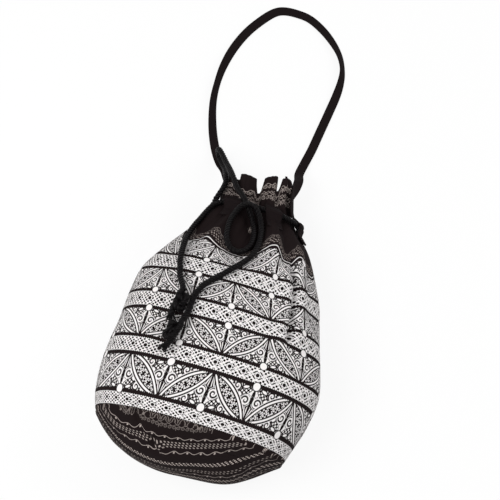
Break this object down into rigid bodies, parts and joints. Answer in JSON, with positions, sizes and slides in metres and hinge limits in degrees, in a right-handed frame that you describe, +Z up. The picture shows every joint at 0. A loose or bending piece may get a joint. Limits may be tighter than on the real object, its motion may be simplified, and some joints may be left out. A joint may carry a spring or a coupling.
{
  "type": "drawstring bucket bag",
  "caption": "Soft bucket bag of printed cotton with an oval base, a gathered drawstring mouth, belt tabs and one carrying strap, lying on its back.",
  "frame": {"origin": "on the flat patch of the back panel's underside, where the lying bag rests on the table", "axes": "+Z up, +Y along the bag from the base to the gathered mouth and the strap, +X across the bag to the right seen from above with the base nearest"},
  "size_m": [0.263, 0.6932, 0.171],
  "materials": {
    "printed_cotton": "matte cotton with a white and black filigree print",
    "dark_cotton": "matte black-brown cotton with thin cream border rows",
    "strap_cotton": "plain black-brown cotton strip, matte",
    "twisted_cord": "black three-strand twisted cord with a slight sheen"
  },
  "bodies": {
    "root": {"front_panel": "printed_cotton", "back_panel": "printed_cotton", "base_panel": "dark_cotton", "carry_strap": "strap_cotton", "tab_front_left": "strap_cotton", "tab_front_right": "strap_cotton", "tab_back_left": "strap_cotton", "tab_back_right": "strap_cotton", "drawstring_neck": "twisted_cord", "drawstring_left": "twisted_cord", "drawstring_slack": "twisted_cord", "drawstring_right": "twisted_cord", "knot_left": "twisted_cord", "knot_right": "twisted_cord"}
  },
  "joints": []
}
